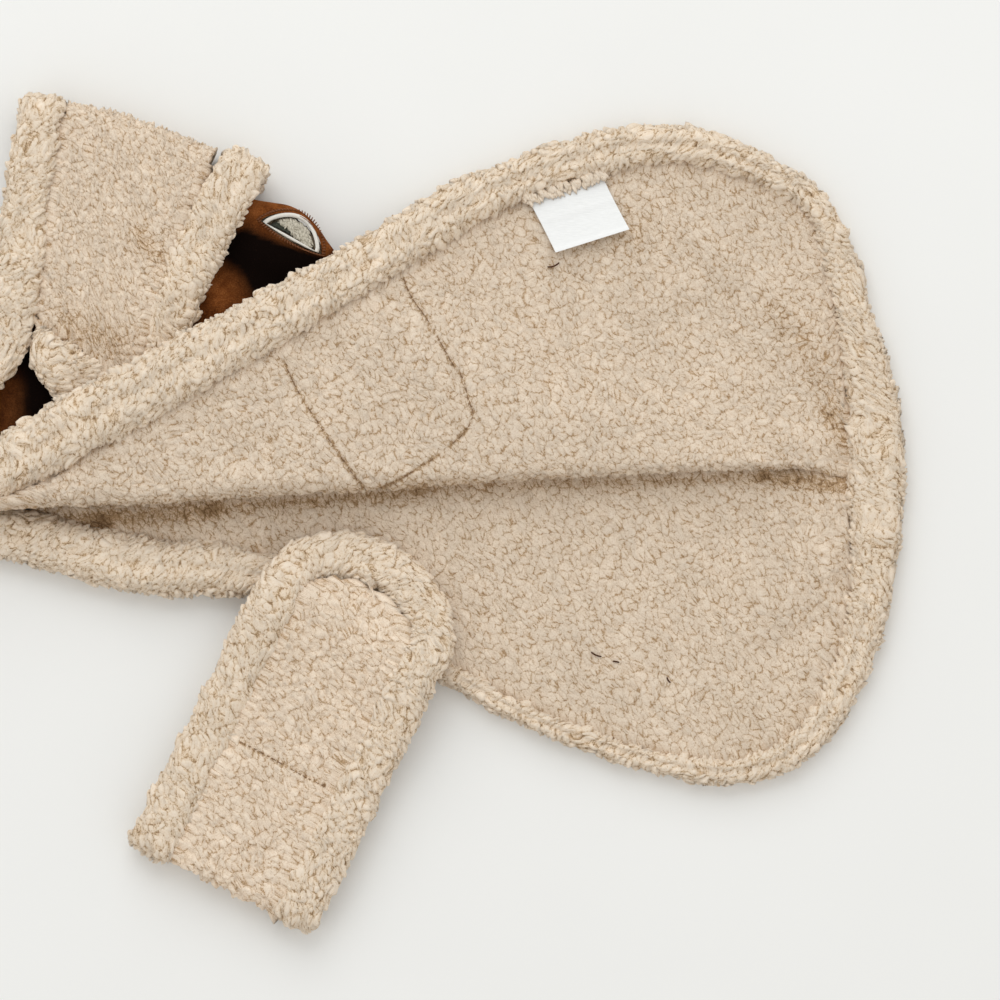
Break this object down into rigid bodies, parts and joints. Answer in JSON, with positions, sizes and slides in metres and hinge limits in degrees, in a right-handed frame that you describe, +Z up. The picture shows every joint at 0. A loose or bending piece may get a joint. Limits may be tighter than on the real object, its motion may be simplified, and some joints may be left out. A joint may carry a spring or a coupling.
{
  "type": "dog coat",
  "caption": "Sherpa-lined dog coat laid on its side with its upper half turned back, its collar turned down and its belly strap folded over the hem.",
  "frame": {"origin": "centre of the bounding box, on the table that the coat lies on", "axes": "+X from the neck to the rump, +Y from the belly strap to the turned-back hem, +Z up from the table"},
  "size_m": [0.4466, 0.3362, 0.034],
  "materials": {
    "sherpa": "curly pile",
    "sherpa_binding": "long curly pile",
    "brown_suede": "suede-look, brushed",
    "satin": "satin",
    "tape": "woven tape"
  },
  "bodies": {
    "root": {"back_shell": "brown_suede", "chest_shell": "brown_suede", "collar_band": "sherpa_binding", "collar_binding": "sherpa_binding", "collar_sherpa": "sherpa", "folded_layers": "sherpa", "hem_binding": "sherpa_binding", "label": "satin", "leash_facing": "tape", "leash_lining": "sherpa", "left_lining": "sherpa", "neck_layers": "sherpa", "neck_shell": "brown_suede", "right_lining": "sherpa", "strap_binding": "sherpa_binding", "strap_sherpa": "sherpa", "strap_under": "sherpa"}
  },
  "joints": []
}
